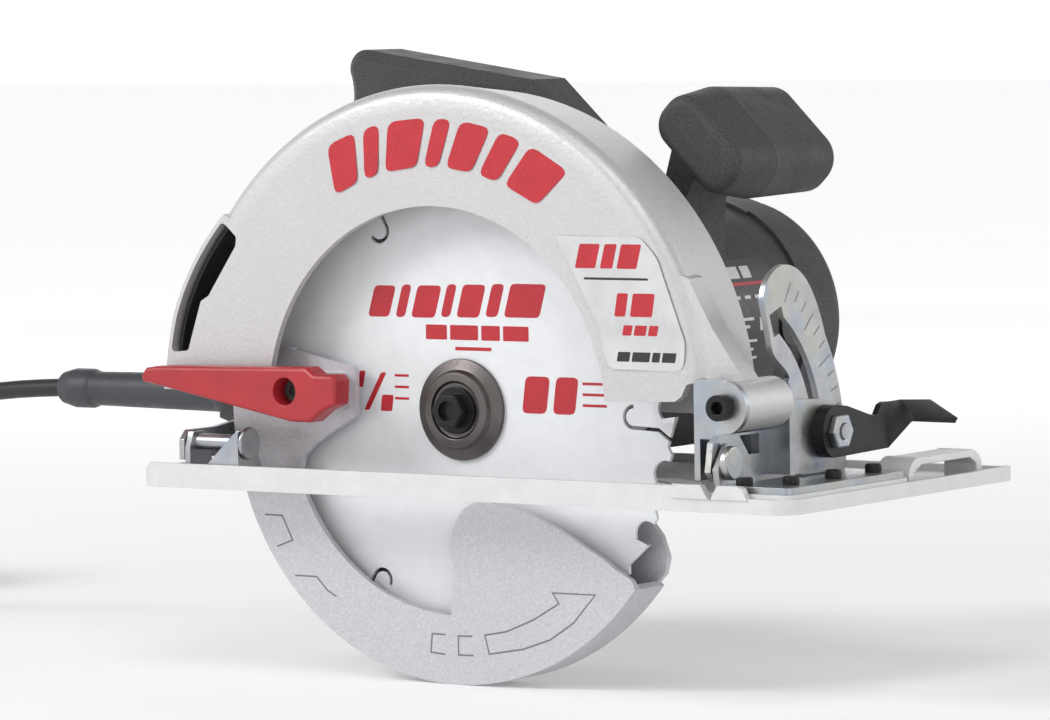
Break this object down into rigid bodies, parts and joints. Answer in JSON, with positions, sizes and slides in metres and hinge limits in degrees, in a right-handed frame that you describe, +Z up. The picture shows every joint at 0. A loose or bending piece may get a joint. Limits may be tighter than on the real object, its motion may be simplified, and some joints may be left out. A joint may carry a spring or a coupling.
{
  "type": "circular saw",
  "caption": "Corded circular saw with a steel blade under a cast guard, swinging lower guard, motor housing, two handles and a tilting shoe.",
  "frame": {"origin": "on the underside of the shoe, beside the blade opening", "axes": "+X along the cut, forwards; +Y from the blade side to the motor side; +Z up, out of the shoe"},
  "size_m": [0.745, 0.1983, 0.2298],
  "materials": {
    "magnesium_casting": "satin, cast, fine sparkle",
    "aluminium_casting": "satin, cast",
    "zinc_plated_steel": "satin",
    "pressed_steel_shoe": "satin",
    "blade_steel": "satin paint",
    "black_steel": "satin",
    "dark_washer_steel": "satin",
    "bright_steel": "polished",
    "charcoal_plastic": "fine texture",
    "red_plastic": "satin",
    "black_plastic": "satin",
    "grey_rubber": "matt",
    "black_cord": "matt",
    "brass": "polished",
    "copper": "satin",
    "lamination_steel": "matt",
    "carbon": "matt"
  },
  "bodies": {
    "saw_body": {"upper_guard": "magnesium_casting", "gear_case": "magnesium_casting", "bearing_plate": "aluminium_casting", "chip_liner": "black_plastic", "spindle_front_bearing": "bright_steel", "spindle_rear_bearing": "bright_steel", "motor_front_bearing": "bright_steel", "motor_rear_bearing": "bright_steel", "guard_retainer": "black_steel", "guard_spring": "bright_steel", "motor_housing": "charcoal_plastic", "motor_end_cap": "charcoal_plastic", "stator": "lamination_steel", "brush_front": "carbon", "brush_rear": "carbon", "brush_cap_front": "black_plastic", "brush_cap_rear": "black_plastic", "handle_near": "charcoal_plastic", "handle_far": "charcoal_plastic", "handle_screws": "black_steel", "switch_body": "black_plastic", "knob_near": "charcoal_plastic", "knob_far": "charcoal_plastic", "depth_lever_bolt": "zinc_plated_steel", "strain_relief": "grey_rubber", "power_cord": "black_cord", "power_cord_end": "black_cord", "cord_coil": "black_cord", "plug": "black_cord", "plug_blades": "brass"},
    "spindle": {"spindle": "bright_steel", "inner_washer": "dark_washer_steel", "blade": "blade_steel", "outer_washer": "dark_washer_steel", "blade_bolt": "black_steel", "drive_gear": "bright_steel"},
    "armature": {"armature_shaft": "bright_steel", "armature_core": "lamination_steel", "commutator": "copper", "fan": "black_plastic"},
    "lower_guard": {"lower_guard": "aluminium_casting", "guard_lever": "red_plastic", "lever_screw": "black_steel"},
    "tilt_frame": {"tilt_bracket": "zinc_plated_steel", "depth_pivot_bolt": "black_steel", "depth_arm": "zinc_plated_steel", "bevel_bolt": "zinc_plated_steel", "bevel_nut": "zinc_plated_steel"},
    "shoe": {"shoe": "pressed_steel_shoe", "fence_bridge": "pressed_steel_shoe", "bevel_ear_front": "zinc_plated_steel", "bevel_quadrant": "zinc_plated_steel", "quadrant_rivets": "black_steel", "bevel_bracket_rear": "zinc_plated_steel", "bevel_rivet_front": "zinc_plated_steel", "bevel_rivet_rear": "zinc_plated_steel"},
    "bevel_lever": {"bevel_lever": "black_steel"},
    "depth_lever": {"depth_lever": "black_steel"},
    "trigger": {"trigger": "black_plastic"},
    "lock_button": {"lock_button": "red_plastic"}
  },
  "joints": [
    {"name": "blade_spin", "type": "hinge", "parent": "saw_body", "child": "spindle", "pos_m": [-0.017, -0.062, 0.0297], "axis": [0, -1, 0], "continuous": true},
    {"name": "armature_spin", "type": "hinge", "parent": "saw_body", "child": "armature", "pos_m": [0.001, -0.002, 0.0547], "axis": [0, -1, 0], "continuous": true},
    {"name": "lower_guard_swing", "type": "hinge", "parent": "saw_body", "child": "lower_guard", "pos_m": [-0.017, -0.053, 0.0297], "axis": [0, 1, 0], "range_deg": [0, 125], "stiffness_Nm_per_rad": 0.3, "springref_deg": -80.21},
    {"name": "depth_tilt", "type": "hinge", "parent": "saw_body", "child": "tilt_frame", "pos_m": [0.1115, -0.072, 0.0359], "axis": [0, -1, 0], "range_deg": [0, 18]},
    {"name": "bevel_tilt", "type": "hinge", "parent": "tilt_frame", "child": "shoe", "pos_m": [0.111, -0.088, 0.0167], "axis": [-1, 0, 0], "range_deg": [0, 50]},
    {"name": "bevel_lever_turn", "type": "hinge", "parent": "tilt_frame", "child": "bevel_lever", "pos_m": [0.12, -0.03297, 0.02394], "axis": [1, 0, 0], "range_deg": [0, 40]},
    {"name": "depth_lever_turn", "type": "hinge", "parent": "saw_body", "child": "depth_lever", "pos_m": [-0.11596, -0.037, 0.03987], "axis": [0, 1, 0], "range_deg": [0, 35]},
    {"name": "trigger_squeeze", "type": "slide", "parent": "saw_body", "child": "trigger", "axis": [-0.9037, 0, 0.4281], "range_m": [0, 0.005], "stiffness_N_per_m": 900, "springref_m": -0.004},
    {"name": "lock_push", "type": "slide", "parent": "saw_body", "child": "lock_button", "axis": [0, -1, 0], "range_m": [0, 0.0025], "stiffness_N_per_m": 900, "springref_m": -0.003}
  ],
  "couplings": [
    {"joint": "armature_spin", "follows": "blade_spin", "ratio": -4.6}
  ]
}
